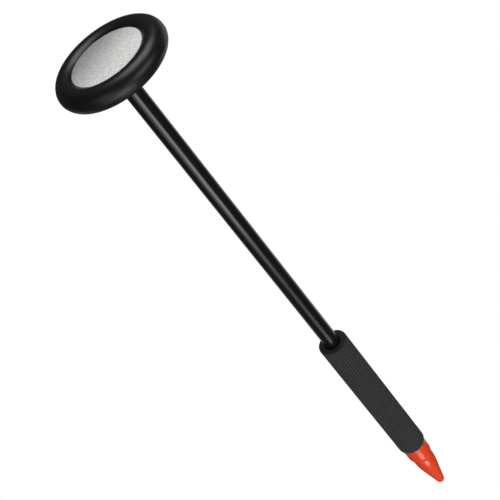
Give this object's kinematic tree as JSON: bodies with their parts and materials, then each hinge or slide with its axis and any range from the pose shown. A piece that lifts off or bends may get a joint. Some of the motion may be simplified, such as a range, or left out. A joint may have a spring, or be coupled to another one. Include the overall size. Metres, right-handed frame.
{
  "type": "reflex hammer",
  "caption": "Disc-headed reflex hammer: rubber-ringed metal head on a slim straight shaft, foam grip and blunt pointed plastic tip.",
  "frame": {"origin": "centre of the flat that the ring's front stands on, at the bottom of the bounding box", "axes": "+Z along the shaft's axis, from the head to the tip; the object stands on its head"},
  "size_m": [0.0516, 0.0516, 0.331],
  "materials": {
    "ring_rubber": "satin",
    "disc_metal": "matte",
    "screw_steel": "satin",
    "insert_brass": "satin",
    "shaft_black": "gloss",
    "grip_foam": "matte",
    "tip_plastic": "gloss"
  },
  "bodies": {
    "head": {"buffer_ring": "ring_rubber", "face_disc": "disc_metal", "back_disc": "disc_metal", "head_screws": "screw_steel"},
    "washer": {"lock_washer": "screw_steel"},
    "shaft": {"head_stud": "screw_steel", "stud_insert": "insert_brass", "shaft_tube": "shaft_black", "foam_grip": "grip_foam", "tip_collar": "tip_plastic"},
    "point": {"tip_point": "tip_plastic"}
  },
  "joints": [
    {"name": "head_thread_travel", "type": "slide", "parent": "head", "child": "washer", "axis": [0, 0, 1], "range_m": [0, 0.0063]},
    {"name": "head_unscrew", "type": "hinge", "parent": "washer", "child": "shaft", "pos_m": [0, 0, 0.0143], "axis": [0, 0, 1], "range_deg": [0, 3240]},
    {"name": "tip_pull", "type": "slide", "parent": "shaft", "child": "point", "axis": [0, 0, 1], "range_m": [0, 0.018]}
  ],
  "couplings": [
    {"joint": "head_unscrew", "follows": "head_thread_travel", "rad_per_m": 8976}
  ]
}
